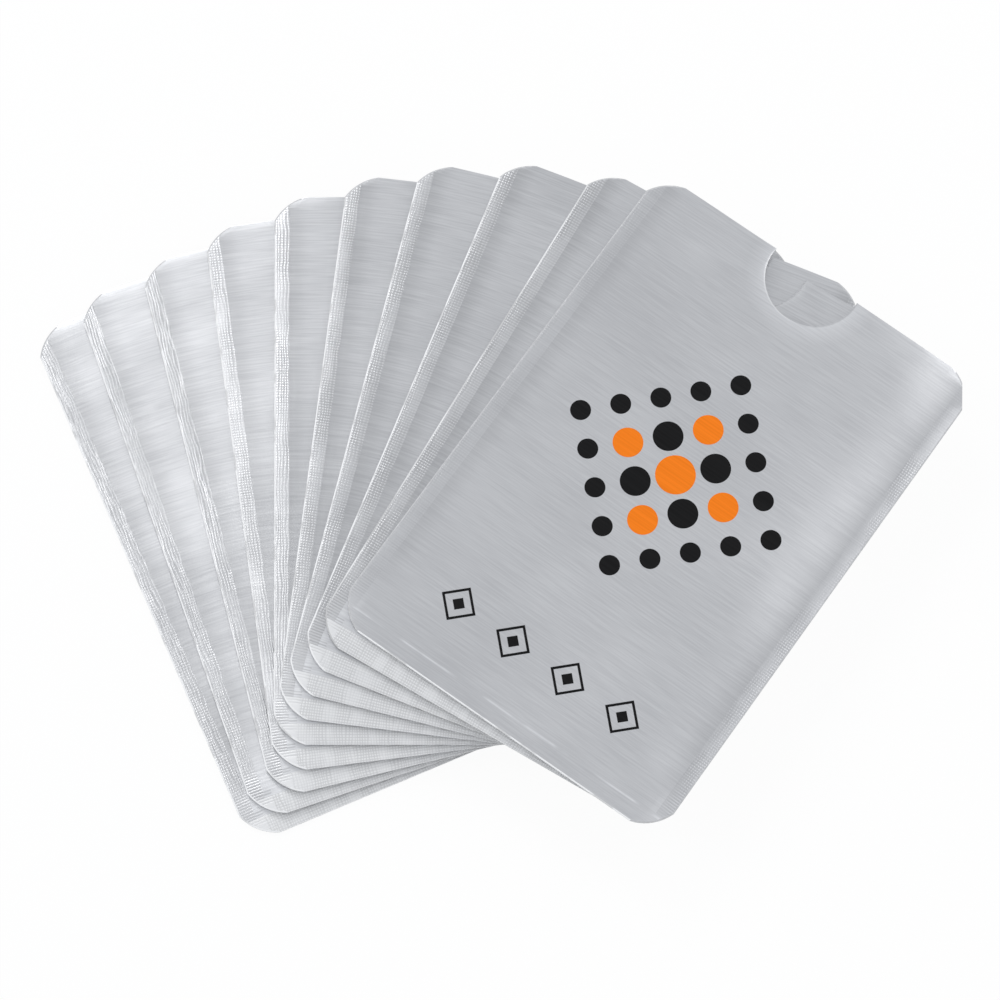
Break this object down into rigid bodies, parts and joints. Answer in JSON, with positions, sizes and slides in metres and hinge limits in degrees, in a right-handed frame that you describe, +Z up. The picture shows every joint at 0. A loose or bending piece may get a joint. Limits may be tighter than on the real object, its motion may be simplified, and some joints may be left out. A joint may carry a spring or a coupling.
{
  "type": "rfid card sleeve",
  "caption": "Fan of flat foil card sleeves, each a sealed pocket with trimmed corners and a thumb notch at its mouth, turning on each other where they are pinched.",
  "frame": {"origin": "middle of the whole fan's bounding box, on the face that the fan lies on", "axes": "+Z up through the pile of sleeves, +X across the fan from the lowest sleeve's side to the top sleeve's side, +Y from the pinched closed ends towards the mouths"},
  "size_m": [0.1504, 0.111, 0.011],
  "materials": {
    "foil_face": "brushed satin foil laminate, printed side",
    "foil_back": "brushed satin foil laminate, plain side",
    "seal_film": "fused liner film of the heat seals",
    "black_ink": "printed ink with a low sheen",
    "orange_ink": "printed ink with a low sheen"
  },
  "bodies": {
    "sleeve_01": {"sleeve_01_back_panel": "foil_back", "sleeve_01_left_seal": "seal_film", "sleeve_01_right_seal": "seal_film", "sleeve_01_end_seal": "seal_film", "sleeve_01_front_panel": "foil_face"},
    "sleeve_02": {"sleeve_02_back_panel": "foil_back", "sleeve_02_left_seal": "seal_film", "sleeve_02_right_seal": "seal_film", "sleeve_02_end_seal": "seal_film", "sleeve_02_front_panel": "foil_face"},
    "sleeve_03": {"sleeve_03_back_panel": "foil_back", "sleeve_03_left_seal": "seal_film", "sleeve_03_right_seal": "seal_film", "sleeve_03_end_seal": "seal_film", "sleeve_03_front_panel": "foil_face"},
    "sleeve_04": {"sleeve_04_back_panel": "foil_back", "sleeve_04_left_seal": "seal_film", "sleeve_04_right_seal": "seal_film", "sleeve_04_end_seal": "seal_film", "sleeve_04_front_panel": "foil_face"},
    "sleeve_05": {"sleeve_05_back_panel": "foil_back", "sleeve_05_left_seal": "seal_film", "sleeve_05_right_seal": "seal_film", "sleeve_05_end_seal": "seal_film", "sleeve_05_front_panel": "foil_face"},
    "sleeve_06": {"sleeve_06_back_panel": "foil_back", "sleeve_06_left_seal": "seal_film", "sleeve_06_right_seal": "seal_film", "sleeve_06_end_seal": "seal_film", "sleeve_06_front_panel": "foil_face"},
    "sleeve_07": {"sleeve_07_back_panel": "foil_back", "sleeve_07_left_seal": "seal_film", "sleeve_07_right_seal": "seal_film", "sleeve_07_end_seal": "seal_film", "sleeve_07_front_panel": "foil_face"},
    "sleeve_08": {"sleeve_08_back_panel": "foil_back", "sleeve_08_left_seal": "seal_film", "sleeve_08_right_seal": "seal_film", "sleeve_08_end_seal": "seal_film", "sleeve_08_front_panel": "foil_face"},
    "sleeve_09": {"sleeve_09_back_panel": "foil_back", "sleeve_09_left_seal": "seal_film", "sleeve_09_right_seal": "seal_film", "sleeve_09_end_seal": "seal_film", "sleeve_09_front_panel": "foil_face"},
    "sleeve_10": {"sleeve_10_back_panel": "foil_back", "sleeve_10_left_seal": "seal_film", "sleeve_10_right_seal": "seal_film", "sleeve_10_end_seal": "seal_film", "sleeve_10_front_panel": "foil_face"}
  },
  "joints": [
    {"name": "fan_02", "type": "hinge", "parent": "sleeve_01", "child": "sleeve_02", "pos_m": [-0.00181, -0.03608, 0.00109], "axis": [0, 0, 1], "range_deg": [-10, 4.2]},
    {"name": "fan_03", "type": "hinge", "parent": "sleeve_02", "child": "sleeve_03", "pos_m": [-0.00181, -0.03608, 0.00219], "axis": [0, 0, 1], "range_deg": [-10, 5]},
    {"name": "fan_04", "type": "hinge", "parent": "sleeve_03", "child": "sleeve_04", "pos_m": [-0.00181, -0.03608, 0.00329], "axis": [0, 0, 1], "range_deg": [-10, 6.5]},
    {"name": "fan_05", "type": "hinge", "parent": "sleeve_04", "child": "sleeve_05", "pos_m": [-0.00181, -0.03608, 0.00439], "axis": [0, 0, 1], "range_deg": [-10, 7.4]},
    {"name": "fan_06", "type": "hinge", "parent": "sleeve_05", "child": "sleeve_06", "pos_m": [-0.00181, -0.03608, 0.00549], "axis": [0, 0, 1], "range_deg": [-10, 7.3]},
    {"name": "fan_07", "type": "hinge", "parent": "sleeve_06", "child": "sleeve_07", "pos_m": [-0.00181, -0.03608, 0.00659], "axis": [0, 0, 1], "range_deg": [-10, 7.1]},
    {"name": "fan_08", "type": "hinge", "parent": "sleeve_07", "child": "sleeve_08", "pos_m": [-0.00181, -0.03608, 0.00769], "axis": [0, 0, 1], "range_deg": [-10, 7.8]},
    {"name": "fan_09", "type": "hinge", "parent": "sleeve_08", "child": "sleeve_09", "pos_m": [-0.00181, -0.03608, 0.00879], "axis": [0, 0, 1], "range_deg": [-10, 8.7]},
    {"name": "fan_10", "type": "hinge", "parent": "sleeve_09", "child": "sleeve_10", "pos_m": [-0.00181, -0.03608, 0.00989], "axis": [0, 0, 1], "range_deg": [-10, 4.9]}
  ]
}
